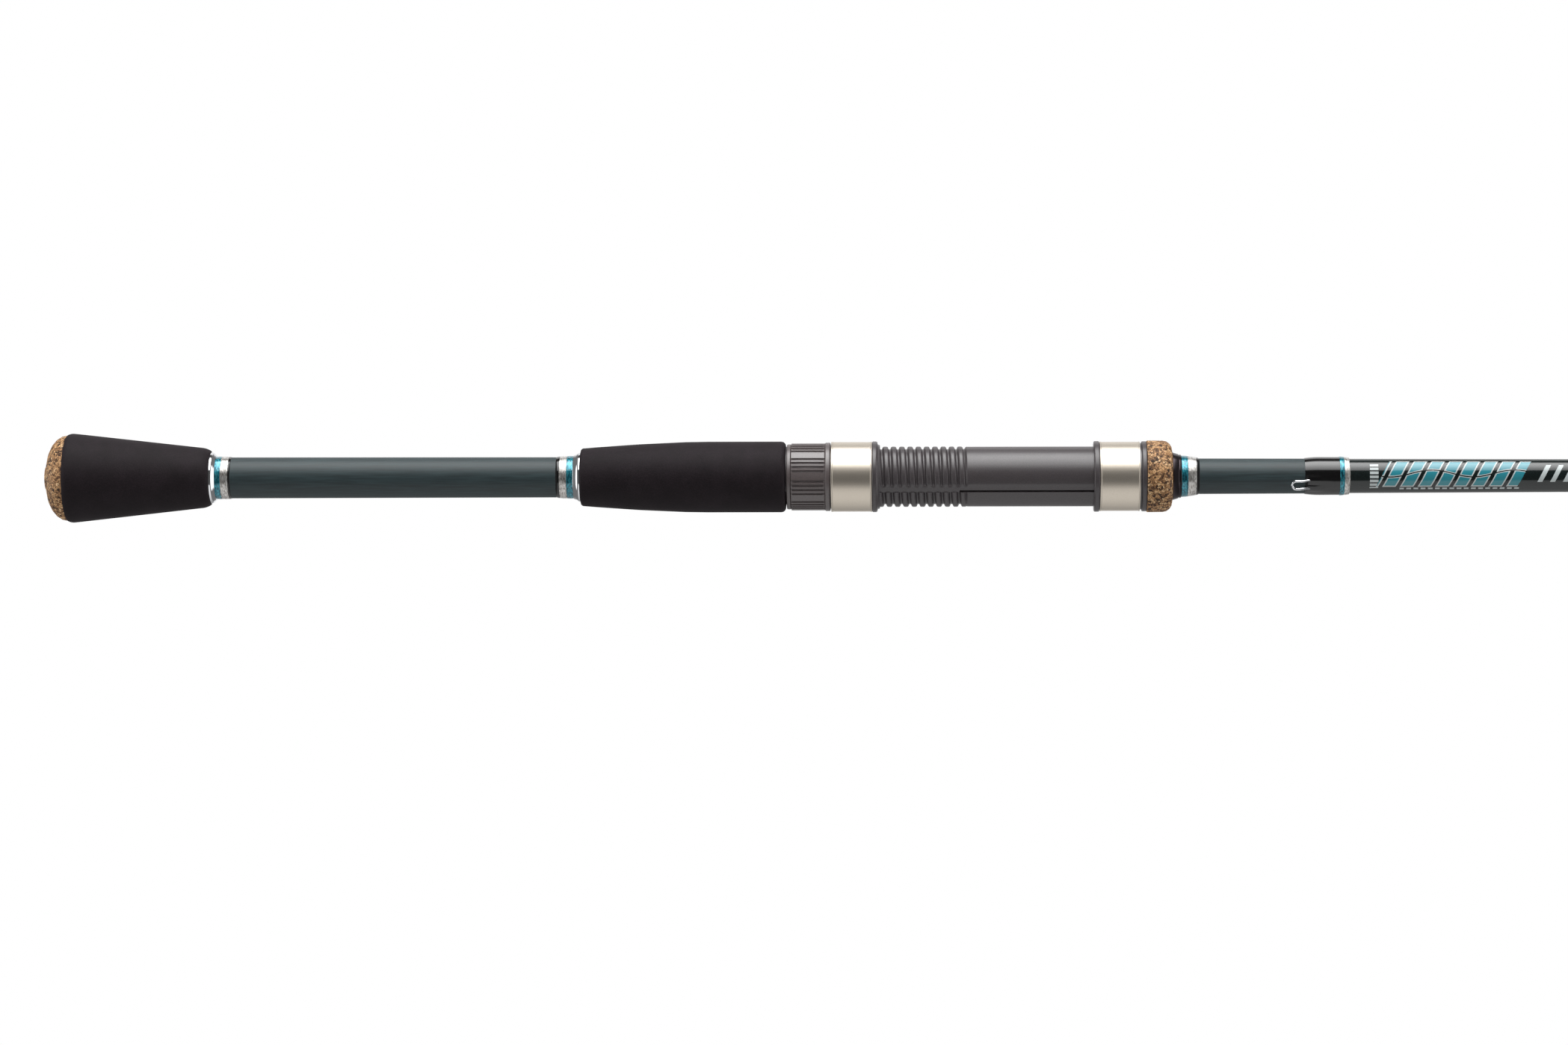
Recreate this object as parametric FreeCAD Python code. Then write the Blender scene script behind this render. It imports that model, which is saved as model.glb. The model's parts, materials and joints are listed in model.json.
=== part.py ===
import FreeCAD, Part
import math
import os
from FreeCAD import Vector as V

# Spinning rod, 2134 mm (7 ft) long, in millimetres.
# +X runs along the rod from the butt face to the tip, +Z is the side with the keyway and the
# hook keeper, and the reel foot and the guides are on the -Z side. Outlines are (x, radius).

# --- Driving dimensions ---------------------------------------------------------------------
ROD_LENGTH = 2134.0
BLANK_START, BLANK_END = 3.0, ROD_LENGTH - 9.0
BLANK_OUTSIDE = ((BLANK_START, 7.48), (67.0, 7.42), (185.0, 7.3), (418.0, 6.45), (BLANK_END, 0.95))
BLANK_WALL_BUTT, BLANK_WALL_TIP = 1.6, 0.6

CAP_END, CAP_RADIUS = 8.0, 15.5
NUB_RADIUS, NUB_HEIGHT = 4.45, 0.8
REAR_GRIP_END, REAR_GRIP_RADIUS = 59.9, 16.2
FORE_GRIP_START, FORE_GRIP_END, FORE_GRIP_RADIUS = 193.8, 268.1, 12.8

# Thread windings: node, start, end, radius at start, radius at end.
WINDINGS = (
    ("rear_wrap_teal", 61.9, 63.9, 7.8, 7.8),
    ("rear_wrap_silver", 63.9, 66.6, 7.8, 7.75),
    ("rear_wrap_black", 66.6, 67.4, 7.75, 7.5),
    ("mid_wrap_black", 185.0, 186.3, 7.4, 7.65),
    ("mid_wrap_silver", 186.3, 188.9, 7.65, 7.8),
    ("mid_wrap_teal", 188.9, 191.2, 7.8, 7.8),
    ("front_wrap_teal", 411.2, 413.5, 7.6, 7.45),
    ("front_wrap_silver", 413.5, 416.6, 7.4, 6.95),
    ("front_wrap_black", 416.6, 417.7, 6.9, 6.55),
    ("keeper_trim_teal", 468.4, 470.1, 7.15, 7.0),
    ("keeper_trim_silver", 470.1, 472.0, 7.0, 6.75),
)

# Reel seat.
SEAT_START, SEAT_END = 268.2, 398.65
SEAT_BORE_RADIUS = 7.4
BARREL_RADIUS, BARREL_START = 10.85, 334.0
PLATFORM_Z, PLATFORM_WIDTH = -8.6, 13.2
THREAD_PITCH, THREAD_CREST_RADIUS, THREAD_ROOT_RADIUS = 3.0, 10.95, 10.0
THREAD_ORIGIN, THREAD_TURNS, NUT_THREAD_TURNS = 264.525, 23, 8
ROOT_WIDTH, GROOVE_MOUTH = 1.0, 1.8
THREAD_CLEARANCE = 0.15
KEYWAY_WIDTH, KEYWAY_FLOOR = 2.0, 9.95
FIXED_HOOD_START, FIXED_HOOD_CORE_RADIUS = 379.5, 12.0
POCKET_DEPTH_X = 14.0

# Locking nut and sliding hood, both at the rear end of their travel.
NUT_START, NUT_END, NUT_RADIUS = 268.5, 284.2, 12.1
GROOVE_GROUPS, GROOVES_PER_GROUP, GROOVE_STEP_DEG, GROOVE_RADIUS = 9, 4, 7.5, 0.42
HOOD_START, HOOD_END, HOOD_RADIUS, HOOD_WALL = 284.5, 299.3, 12.7, 0.6
HOOD_FLANGE_END = 301.2
RUNNING_RADIUS = THREAD_CREST_RADIUS + THREAD_CLEARANCE

CORK_END, CORK_RADIUS = 407.9, 13.0
CHECK_START, CHECK_END = 408.0, 411.2

KEEPER_WIRE_RADIUS, KEEPER_HALF_WIDTH = 0.45, 1.6
KEEPER_NOSE, KEEPER_FOOT_END = 451.05, 466.0
KEEPER_WRAP_START, KEEPER_WRAP_END, KEEPER_WRAP_RADIUS = 455.8, 468.4, 7.45

# Guides: distance from the butt, outer radius of the ring, height of the ring's centre over
# the blank, wire radius, and whether it has a foot on both sides.
GUIDES = (
    (1010.0, 15.0, 40.0, 1.0, True),
    (1240.0, 10.0, 27.0, 0.9, True),
    (1435.0, 8.0, 20.0, 0.8, True),
    (1605.0, 6.0, 14.0, 0.7, True),
    (1755.0, 5.0, 11.0, 0.6, False),
    (1890.0, 4.0, 9.0, 0.55, False),
    (2015.0, 3.5, 7.5, 0.5, False),
)
GUIDE_FOOT_LENGTH = 15.0
BEND_FULLNESS = 1.06
RING_SECTION = 0.16
TIP_RING_X, TIP_RING_RADIUS, TIP_RING_HEIGHT = ROD_LENGTH - 1.6, 3.5, 6.0
TIP_TUBE_START, TIP_TUBE_END, TIP_TUBE_RADIUS = ROD_LENGTH - 24.0, ROD_LENGTH - 7.5, 1.75


# --- Helpers --------------------------------------------------------------------------------
def edges_of(outline):
    """Edges through (x, radius) points. A pair of points is an arc: its middle and its end."""
    here = V(outline[0][0], 0, outline[0][1])
    edges = []
    for step in outline[1:]:
        if isinstance(step[0], tuple):
            middle, end = (V(x, 0, r) for x, r in step)
            edges.append(Part.Arc(here, middle, end).toShape())
        else:
            end = V(step[0], 0, step[1])
            edges.append(Part.LineSegment(here, end).toShape())
        here = end
    start = V(outline[0][0], 0, outline[0][1])
    if here.distanceToPoint(start) > 1e-6:
        edges.append(Part.LineSegment(here, start).toShape())
    return edges


def turned(outline):
    """The solid that a closed outline sweeps about the rod's axis."""
    face = Part.Face(Part.Wire(edges_of(outline)))
    return face.revolve(V(0, 0, 0), V(1, 0, 0), 360)


def cylinder(x0, x1, radius):
    return Part.makeCylinder(radius, x1 - x0, V(x0, 0, 0), V(1, 0, 0))


def box(x0, x1, y0, y1, z0, z1):
    return Part.makeBox(x1 - x0, y1 - y0, z1 - z0, V(x0, y0, z0))


def blank_radius(x):
    for (xa, ra), (xb, rb) in zip(BLANK_OUTSIDE, BLANK_OUTSIDE[1:]):
        if x <= xb:
            return ra + (rb - ra) * (x - xa) / (xb - xa)
    return BLANK_OUTSIDE[-1][1]


def blank_core():
    """The blank's outside as a solid bar, which cuts the bore of everything glued to it."""
    return turned([(BLANK_START, 0), *BLANK_OUTSIDE, (BLANK_END, 0)])


CORE = blank_core()


def sleeve(outline):
    """A turned piece whose bore fits the blank."""
    return turned(outline).cut(CORE)


def wire_rod(points, radius):
    """A bent wire: a bar along each run and a slightly fuller ball at each bend."""
    parts = []
    for a, b in zip(points, points[1:]):
        parts.append(Part.makeCylinder(radius, a.distanceToPoint(b), a, b - a))
    parts += [Part.makeSphere(radius * BEND_FULLNESS, p) for p in points[1:-1]]
    return parts[0].fuse(parts[1:])


def cut_thread(body, profile, start, turns):
    """Cuts a (radius, offset along the axis) profile on a right-hand helix from +Z, turn by turn."""
    helix = Part.makeHelix(THREAD_PITCH, THREAD_PITCH, THREAD_ROOT_RADIUS)
    corners = [V(r, 0, s) for r, s in profile]
    section = Part.makePolygon([*corners, corners[0]])
    turn = Part.Wire(helix).makePipeShell([section], True, True)
    turn.rotate(V(0, 0, 0), V(0, 1, 0), 90)
    turn.rotate(V(0, 0, 0), V(1, 0, 0), 180)
    turn.translate(V(start, 0, 0))
    for _ in range(turns):
        body = body.cut(turn)
        turn.translate(V(THREAD_PITCH, 0, 0))
    return body


# --- Blank and butt -------------------------------------------------------------------------
def blank():
    inside = [(x, r) for x, r in BLANK_OUTSIDE[:-1]]
    bore = [(x, r - BLANK_WALL_BUTT) for x, r in inside]
    bore_end = BLANK_END - 60.0
    bore.append((bore_end, blank_radius(bore_end) - BLANK_WALL_TIP))
    return CORE.cut(turned([(BLANK_START, 0), *bore, (bore_end, 0)]))


def butt_cap():
    """Domed cap with a flat nub in the middle of its face, socketed on the blank's end."""
    crown, width = CAP_END - NUB_HEIGHT + 0.1, CAP_RADIUS - NUB_RADIUS
    centre = V(CAP_END, 0, NUB_RADIUS)
    dome = Part.Ellipse(centre + V(0, 0, width), centre - V(crown, 0, 0), centre)
    arc = Part.ArcOfEllipse(dome, 0, math.pi / 2).toShape()
    corners = [
        V(CAP_END - crown, 0, NUB_RADIUS),
        V(0, 0, NUB_RADIUS),
        V(0, 0, 0),
        V(CAP_END, 0, 0),
        V(CAP_END, 0, NUB_RADIUS + width),
    ]
    lines = [Part.LineSegment(a, b).toShape() for a, b in zip(corners, corners[1:])]
    face = Part.Face(Part.Wire([arc, *lines]))
    return face.revolve(V(0, 0, 0), V(1, 0, 0), 360).cut(CORE)


# --- Foam grips and check rings -------------------------------------------------------------
def rear_grip():
    return sleeve([
        (CAP_END, 0),
        (CAP_END, 15.5),
        ((8.6, 16.0), (9.6, REAR_GRIP_RADIUS)),
        (11.4, 16.05),
        ((12.9, 15.7), (14.4, 15.25)),
        (57.2, 11.15),
        ((59.1, 10.6), (REAR_GRIP_END, 9.4)),
        (REAR_GRIP_END, 0),
    ])


def fore_grip():
    end, radius = FORE_GRIP_END, FORE_GRIP_RADIUS
    return sleeve([
        (FORE_GRIP_START, 0),
        (FORE_GRIP_START, 9.1),
        ((194.25, 10.1), (195.3, 10.5)),
        (221.7, 12.65),
        ((226.0, 12.78), (232.0, radius)),
        (end - 2.6, radius),
        ((end - 0.75, radius - 0.75), (end, radius - 2.4)),
        (end, 0),
    ])


def rear_check_ring():
    return sleeve([(59.9, 0), (59.9, 9.3), ((60.4, 8.5), (61.9, 8.0)), (61.9, 0)])


def fore_check_ring():
    return sleeve([(191.2, 0), (191.2, 7.95), (192.6, 8.15), ((193.4, 8.5), (193.8, 9.0)), (193.8, 0)])


def winding(start, end, radius_start, radius_end):
    return sleeve([(start, 0), (start, radius_start), (end, radius_end), (end, 0)])


# --- Reel seat ------------------------------------------------------------------------------
def pocket(x0, x1):
    """The space that one end of a reel's foot slides into, under a hood."""
    half = PLATFORM_WIDTH / 2
    reach = -(HOOD_RADIUS - HOOD_WALL)
    return box(x0, x1, -half, half, reach - 0.2, PLATFORM_Z).common(cylinder(x0, x1, -reach))


def reel_seat_body():
    outside = turned([
        (SEAT_START, SEAT_BORE_RADIUS),
        (SEAT_START, THREAD_CREST_RADIUS),
        (BARREL_START, THREAD_CREST_RADIUS),
        (BARREL_START + 0.1, BARREL_RADIUS),
        (FIXED_HOOD_START, BARREL_RADIUS),
        (FIXED_HOOD_START, 12.5),
        ((379.65, 12.72), (379.9, 12.8)),
        (381.1, 12.8),
        (381.4, 12.6),
        (381.4, FIXED_HOOD_CORE_RADIUS),
        (396.7, FIXED_HOOD_CORE_RADIUS),
        (396.7, 9.6),
        (SEAT_END, 9.6),
        (SEAT_END, SEAT_BORE_RADIUS),
    ])
    root, mouth = ROOT_WIDTH / 2, GROOVE_MOUTH / 2
    flare = THREAD_CREST_RADIUS + 0.4
    slope = (mouth - root) / (THREAD_CREST_RADIUS - THREAD_ROOT_RADIUS)
    wide = root + slope * (flare - THREAD_ROOT_RADIUS)
    groove = [(THREAD_ROOT_RADIUS, -root), (THREAD_ROOT_RADIUS, root), (flare, wide), (flare, -wide)]
    body = cut_thread(outside, groove, THREAD_ORIGIN, THREAD_TURNS)
    half = PLATFORM_WIDTH / 2
    body = body.cut(box(SEAT_START - 1, FIXED_HOOD_START, -half, half, -14, PLATFORM_Z))
    body = body.cut(pocket(FIXED_HOOD_START - 0.1, FIXED_HOOD_START + POCKET_DEPTH_X))
    keyway = KEYWAY_WIDTH / 2
    return body.cut(box(SEAT_START - 1, FIXED_HOOD_START, -keyway, keyway, KEYWAY_FLOOR, 14))


def seat_arbor(x0, x1):
    return sleeve([(x0, 0), (x0, SEAT_BORE_RADIUS), (x1, SEAT_BORE_RADIUS), (x1, 0)])


def fixed_hood_sleeve():
    inner, outer = FIXED_HOOD_CORE_RADIUS, FIXED_HOOD_CORE_RADIUS + HOOD_WALL
    return turned([
        (381.6, inner),
        (381.6, outer - 0.2),
        (381.8, outer),
        (396.0, outer),
        (396.2, outer - 0.2),
        (396.2, inner),
    ])


def seat_end_ring():
    return turned([
        (396.75, 9.6), (396.75, 12.45), (397.0, 12.7), (398.4, 12.7), (SEAT_END, 12.5), (SEAT_END, 9.6),
    ])


def sliding_hood_sleeve():
    inner = HOOD_RADIUS - HOOD_WALL
    return turned([
        (HOOD_START, inner),
        (HOOD_START, HOOD_RADIUS - 0.25),
        (HOOD_START + 0.25, HOOD_RADIUS),
        (HOOD_END - 0.25, HOOD_RADIUS),
        (HOOD_END, HOOD_RADIUS - 0.25),
        (HOOD_END, inner),
    ])


def sliding_hood_liner():
    """Plastic lining of the hood: it keys into the seat, takes the reel's foot and holds the nut."""
    inner, outer = RUNNING_RADIUS, HOOD_RADIUS - HOOD_WALL
    lining = turned([
        (282.4, inner),
        (282.4, 11.75),
        (283.0, 11.85),
        (283.1, 11.5),
        (HOOD_START, 11.5),
        (HOOD_START, outer),
        (HOOD_END, outer),
        (HOOD_END, 12.5),
        ((HOOD_END + 0.1, 12.75), (HOOD_END + 0.4, 12.8)),
        (HOOD_FLANGE_END - 0.5, 12.8),
        ((HOOD_FLANGE_END - 0.1, 12.6), (HOOD_FLANGE_END, 12.2)),
        ((HOOD_FLANGE_END + 0.3, 11.6), (HOOD_FLANGE_END + 0.9, 11.45)),
        (HOOD_FLANGE_END + 0.9, inner),
    ])
    lining = lining.cut(pocket(HOOD_FLANGE_END - POCKET_DEPTH_X, HOOD_FLANGE_END + 1))
    half = KEYWAY_WIDTH / 2 - 0.2
    key = box(HOOD_START, HOOD_END, -half, half, KEYWAY_FLOOR + 0.3, inner + 0.4)
    return lining.fuse(key).removeSplitter()


def locking_nut():
    outside = turned([
        (NUT_START, 10.2),
        (NUT_START, 11.4),
        ((NUT_START + 0.15, 11.7), (NUT_START + 0.5, 11.8)),
        (270.0, 11.8),
        (270.1, NUT_RADIUS),
        (282.2, NUT_RADIUS + 0.1),
        (282.3, 12.4),
        (283.9, 12.4),
        (NUT_END, 12.2),
        (NUT_END, 11.6),
        (283.2, 11.6),
        (283.2, 12.0),
        (282.2, 12.0),
        (282.2, RUNNING_RADIUS),
        (281.2, 10.2),
    ])
    grooves = []
    for group in range(GROOVE_GROUPS):
        for step in range(GROOVES_PER_GROUP):
            offset = (step - (GROOVES_PER_GROUP - 1) / 2) * GROOVE_STEP_DEG
            angle = math.radians(63 + 20 + group * 360 / GROOVE_GROUPS + offset)
            at = V(270.5, (NUT_RADIUS + 0.1) * math.cos(angle), (NUT_RADIUS + 0.1) * math.sin(angle))
            grooves.append(Part.makeCylinder(GROOVE_RADIUS, 11.4, at, V(1, 0, 0)))
    nut = outside.cut(grooves)
    root = (THREAD_PITCH - ROOT_WIDTH) / 2 + THREAD_CLEARANCE
    crest = (THREAD_PITCH - GROOVE_MOUTH) / 2 + THREAD_CLEARANCE
    ridge = [(9.9, -root), (THREAD_ROOT_RADIUS, -root), (RUNNING_RADIUS, -crest)]
    ridge += [(r, -s) for r, s in reversed(ridge)]
    return cut_thread(nut, ridge, THREAD_ORIGIN + THREAD_PITCH / 2, NUT_THREAD_TURNS)


# --- Cork ring, winding check and hook keeper -----------------------------------------------
def cork_ring():
    return sleeve([
        (SEAT_END, 0),
        (SEAT_END, 12.8),
        (399.1, CORK_RADIUS),
        (404.0, CORK_RADIUS),
        ((406.75, 11.8), (CORK_END, 9.0)),
        (CORK_END, 0),
    ])


def front_winding_check():
    return sleeve([
        (CHECK_START, 0), (CHECK_START, 8.6), (CHECK_START + 0.3, 8.7), (CHECK_END, 7.75), (CHECK_END, 0),
    ])


def hook_keeper():
    """A wire loop whose two legs lie on the blank under the winding."""
    foot = blank_radius(KEEPER_WRAP_START) + KEEPER_WIRE_RADIUS
    side = KEEPER_HALF_WIDTH
    low = math.sqrt(foot**2 - side**2)
    arch = low + 0.75
    legs = []
    for y in (-side, side):
        flat = [V(KEEPER_FOOT_END, y, low), V(458.4, y, low)]
        raised = [V(456.6, y, arch), V(KEEPER_NOSE + side, y, arch)]
        legs.append(wire_rod(flat + raised, KEEPER_WIRE_RADIUS))
    mid = V(KEEPER_NOSE, 0, arch)
    ends = [V(KEEPER_NOSE + side, y, arch) for y in (-side, side)]
    nose = Part.Wire([Part.Arc(ends[0], mid, ends[1]).toShape()])
    section = Part.Wire([Part.Circle(ends[0], V(1, 0, 0), KEEPER_WIRE_RADIUS).toShape()])
    loop = nose.makePipeShell([section], True, True)
    return loop.fuse(legs).cut(CORE)


def keeper_wrap(keeper):
    start, end, radius = KEEPER_WRAP_START, KEEPER_WRAP_END, KEEPER_WRAP_RADIUS
    wrap = sleeve([
        (start, 0),
        (start, 6.6),
        ((456.5, 7.0), (457.4, 7.25)),
        (459.0, radius),
        (467.0, radius),
        (end, 7.2),
        (end, 0),
    ])
    return wrap.cut(keeper)


# --- Guides ---------------------------------------------------------------------------------
def ring_insert(x, z, outer):
    """A ceramic ring with a rounded inside, on an axis along the rod."""
    inner, half = outer * (1 - RING_SECTION), outer * RING_SECTION * 0.55
    face = Part.Face(Part.Wire(edges_of([
        (x - half, outer), (x + half, outer), (x + half, inner + half),
        ((x, inner), (x - half, inner + half)),
    ])))
    ring = face.revolve(V(0, 0, 0), V(1, 0, 0), 360)
    ring.translate(V(0, 0, z))
    return ring


def ring_hoop(x, z, inner, wall, half):
    outer = Part.makeCylinder(inner + wall, 2 * half, V(x - half, 0, z), V(1, 0, 0))
    return outer.cut(Part.makeCylinder(inner, 2 * half, V(x - half, 0, z), V(1, 0, 0)))


def guide_feet(x, height, double):
    """(x where a foot begins, x where it ends) for each foot: the far one, then the near one."""
    feet = [(x + 0.55 * height, x + 0.55 * height + GUIDE_FOOT_LENGTH)]
    if double:
        feet.append((x - 0.35 * height, x - 0.35 * height - GUIDE_FOOT_LENGTH))
    return feet


def guide_frame(x, outer, height, wire, double):
    centre = -(blank_radius(x) + height)
    mount = outer + wire * 0.5
    frame = ring_hoop(x, centre, outer, wire, wire * 0.9)
    legs = []
    feet = guide_feet(x, height, double)
    for sign in (-1, 1):
        start, end = feet[0]
        low = -(blank_radius(start) + wire)
        hold = V(x, sign * mount * math.cos(math.radians(20)), centre + mount * math.sin(math.radians(20)))
        knee = V(start - 0.1 * height, sign * wire * 1.2, low - 0.08 * height)
        legs.append(wire_rod([hold, knee, V(start, 0, low), V(end, 0, low)], wire))
    if double:
        start, end = feet[1]
        low = -(blank_radius(end) + wire)
        hold = V(x, 0, centre + mount)
        legs.append(wire_rod([hold, V(start, 0, low), V(end, 0, low)], wire))
    inside = Part.makeCylinder(outer, 6 * wire, V(x - 3 * wire, 0, centre), V(1, 0, 0))
    return frame.fuse(legs).cut(CORE).cut(inside)


def guide_wrap(x, height, wire, double, frame):
    """Windings over the feet: drums set off towards the feet, with the wire's channel cut out."""
    drums = []
    for start, end in guide_feet(x, height, double):
        along = 1 if end > start else -1
        near, far = start + along * 2.0, end + along * 3.0
        radius = max(blank_radius(near), blank_radius(far)) + wire + 0.3
        drum = Part.makeCylinder(radius, abs(far - near), V(min(near, far), 0, -wire + 0.05), V(1, 0, 0))
        drums.append(drum.cut(CORE).cut(frame))
    return Part.makeCompound(drums)


def guide_trim(x, height, wire, double, offset, width):
    """A narrow band of winding just outside each foot's winding."""
    bands = []
    for start, end in guide_feet(x, height, double):
        along = 1 if end > start else -1
        edge = end + along * (3.0 + offset)
        low, high = sorted((edge, edge + along * width))
        radius = blank_radius(low) + 0.3
        bands.append(sleeve([(low, 0), (low, radius), (high, radius), (high, 0)]))
    return bands


def tip_top():
    """The tube glued on the tip, with two struts and a hoop for the last ring."""
    tube = cylinder(TIP_TUBE_START, TIP_TUBE_END, TIP_TUBE_RADIUS).cut(CORE)
    x, wire, centre = TIP_RING_X, 0.5, -TIP_RING_HEIGHT
    mount = TIP_RING_RADIUS + wire * 0.5
    frame = ring_hoop(x, centre, TIP_RING_RADIUS, wire, wire)
    legs = []
    for sign in (-1, 1):
        hold = V(x, sign * mount * math.cos(math.radians(25)), centre + mount * math.sin(math.radians(25)))
        legs.append(wire_rod([hold, V(TIP_TUBE_END - 1.0, sign * 1.0, 0)], wire))
    inside = Part.makeCylinder(TIP_RING_RADIUS, 4.0, V(x - 2.0, 0, centre), V(1, 0, 0))
    return tube.fuse([frame, *legs]).cut(CORE).cut(inside)


# --- Write one file per node ----------------------------------------------------------------
def build():
    keeper = hook_keeper()
    nodes = {
        "blank": blank(),
        "butt_cap": butt_cap(),
        "rear_grip": rear_grip(),
        "rear_check_ring": rear_check_ring(),
        "fore_check_ring": fore_check_ring(),
        "fore_grip": fore_grip(),
        "reel_seat_body": reel_seat_body(),
        "seat_arbor_rear": seat_arbor(275.0, 300.0),
        "seat_arbor_front": seat_arbor(365.0, 390.0),
        "fixed_hood_sleeve": fixed_hood_sleeve(),
        "seat_end_ring": seat_end_ring(),
        "sliding_hood_sleeve": sliding_hood_sleeve(),
        "sliding_hood_liner": sliding_hood_liner(),
        "locking_nut": locking_nut(),
        "cork_ring": cork_ring(),
        "front_winding_check": front_winding_check(),
        "hook_keeper": keeper,
        "keeper_wrap": keeper_wrap(keeper),
    }
    for name, *sizes in WINDINGS:
        nodes[name] = winding(*sizes)
    teal, silver = [], []
    for number, (x, outer, height, wire, double) in enumerate(GUIDES, 1):
        frame = guide_frame(x, outer, height, wire, double)
        nodes[f"guide_{number}_frame"] = frame
        nodes[f"guide_{number}_ring"] = ring_insert(x, -(blank_radius(x) + height), outer)
        nodes[f"guide_{number}_wrap"] = guide_wrap(x, height, wire, double, frame)
        teal += guide_trim(x, height, wire, double, 0.0, 1.2)
        silver += guide_trim(x, height, wire, double, 1.2, 1.2)
    nodes["guide_trims_teal"] = Part.makeCompound(teal)
    nodes["guide_trims_silver"] = Part.makeCompound(silver)
    nodes["tip_top_frame"] = tip_top()
    nodes["tip_top_ring"] = ring_insert(TIP_RING_X, -TIP_RING_HEIGHT, TIP_RING_RADIUS)
    nodes["tip_wrap"] = sleeve([
        (TIP_TUBE_START - 7.0, 0), (TIP_TUBE_START - 7.0, 1.35), (TIP_TUBE_START, 1.6), (TIP_TUBE_START, 0),
    ])
    return nodes


os.makedirs("parts", exist_ok=True)
for node, shape in build().items():
    shape.exportStep(f"parts/{node}.step")
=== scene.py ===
import json
import math

import bmesh
import bpy
from mathutils import Matrix, Vector


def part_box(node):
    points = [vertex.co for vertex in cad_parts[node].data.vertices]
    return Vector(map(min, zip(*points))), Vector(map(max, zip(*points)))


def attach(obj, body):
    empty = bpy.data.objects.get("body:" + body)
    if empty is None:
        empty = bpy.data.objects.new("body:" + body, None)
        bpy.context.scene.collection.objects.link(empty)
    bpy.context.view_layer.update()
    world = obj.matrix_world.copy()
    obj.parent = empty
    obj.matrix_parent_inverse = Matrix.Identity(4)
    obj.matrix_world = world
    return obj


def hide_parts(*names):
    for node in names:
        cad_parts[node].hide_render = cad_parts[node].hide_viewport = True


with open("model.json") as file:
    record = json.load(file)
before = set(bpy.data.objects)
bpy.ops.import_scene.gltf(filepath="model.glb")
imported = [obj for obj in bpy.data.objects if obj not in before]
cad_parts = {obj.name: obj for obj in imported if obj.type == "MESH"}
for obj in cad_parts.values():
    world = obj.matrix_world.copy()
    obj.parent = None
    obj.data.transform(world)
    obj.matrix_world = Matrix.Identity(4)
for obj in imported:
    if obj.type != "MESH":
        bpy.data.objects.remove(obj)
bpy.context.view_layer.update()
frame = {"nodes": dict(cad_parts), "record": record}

# --- Blank -----------------------------------------------------------------------------------
# A tapered tube of carbon and glass cloth, rolled on a mandrel and sanded. It is left bare and
# matt through the handle; beyond the hook keeper it is painted dark green-black and lacquered.
# Shapes are built in millimetres, and piece() makes them metres. Angles about the rod run in
# degrees from +Y towards +Z: the keyway's side is 90, the guides' side 270.
slots = {s["node"]: s["material_slot"] for s in frame["record"]["subparts"]}


def span(node):
    """Where a round node starts and ends along the rod, and its outer radius."""
    low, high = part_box(node)
    return low[0] * 1000, high[0] * 1000, high[1] * 1000


def turned(corners, steps=120, sweep=None):
    """A profile of (along, out, fillet) corners spun about the rod's axis, fillets bevelled."""
    first, last = sweep or (0, 360)
    lean = Matrix.Rotation(math.radians(first), 3, "X")
    bm = bmesh.new()
    verts = [bm.verts.new(lean @ Vector((along, out, 0))) for along, out, _ in corners]
    if corners[0][1] > 0:
        verts.append(verts[0])
    edges = [bm.edges.new(pair) for pair in zip(verts, verts[1:])]
    bmesh.ops.spin(
        bm, geom=list(dict.fromkeys(verts)) + edges, axis=(1, 0, 0), cent=(0, 0, 0),
        angle=math.radians(last - first), steps=steps, use_merge=sweep is None,
    )
    bmesh.ops.remove_doubles(bm, verts=bm.verts, dist=1e-4)
    if sweep:
        bmesh.ops.holes_fill(bm, edges=bm.edges, sides=0)
    bmesh.ops.recalc_face_normals(bm, faces=bm.faces)
    for along, out, fillet in corners:
        if fillet:
            ring = [
                e for e in bm.edges
                if all(abs(v.co.x - along) < 1e-3 and abs(v.co.yz.length - out) < 1e-3 for v in e.verts)
            ]
            bmesh.ops.bevel(
                bm, geom=ring, offset=fillet, offset_type="OFFSET", segments=4, profile=0.5,
                affect="EDGES", clamp_overlap=True, material=-1,
            )
    return bm


def piece(name, bm, material, body, stands_for, sharp=35):
    """A finished shape as an object that rides on a body."""
    bmesh.ops.remove_doubles(bm, verts=bm.verts, dist=1e-4)
    bmesh.ops.dissolve_degenerate(bm, edges=bm.edges, dist=1e-4)
    bmesh.ops.recalc_face_normals(bm, faces=bm.faces)
    bmesh.ops.scale(bm, vec=(0.001, 0.001, 0.001), verts=bm.verts)
    mesh = bpy.data.meshes.new(name)
    bm.to_mesh(mesh)
    bm.free()
    mesh.shade_smooth()
    mesh.set_sharp_from_angle(angle=math.radians(sharp))
    mesh.materials.append(material)
    made = bpy.data.objects.new(name, mesh)
    bpy.context.collection.objects.link(made)
    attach(made, body)
    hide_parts(*stands_for)
    return made


def linear(code):
    """An sRGB hex colour as linear light."""
    parts = [int(code[i : i + 2], 16) / 255 for i in (1, 3, 5)]
    return (*[c / 12.92 if c <= 0.04045 else ((c + 0.055) / 1.055) ** 2.4 for c in parts], 1)


def add(tree, kind, inputs, stops=(), **settings):
    """A node of a kind; its inputs are values or sockets, and a ramp's stops are (place, hex)."""
    made = tree.nodes.new("ShaderNode" + kind)
    for key, value in settings.items():
        setattr(made, key, value)
    for place, code in stops[len(made.color_ramp.elements) :] if stops else ():
        made.color_ramp.elements.new(place)
    for element, (place, code) in zip(made.color_ramp.elements if stops else (), stops):
        element.position, element.color = place, linear(code)
    for key, value in inputs.items():
        if isinstance(value, bpy.types.NodeSocket):
            tree.links.new(value, made.inputs[key])
        else:
            made.inputs[key].default_value = value
    return made


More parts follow.
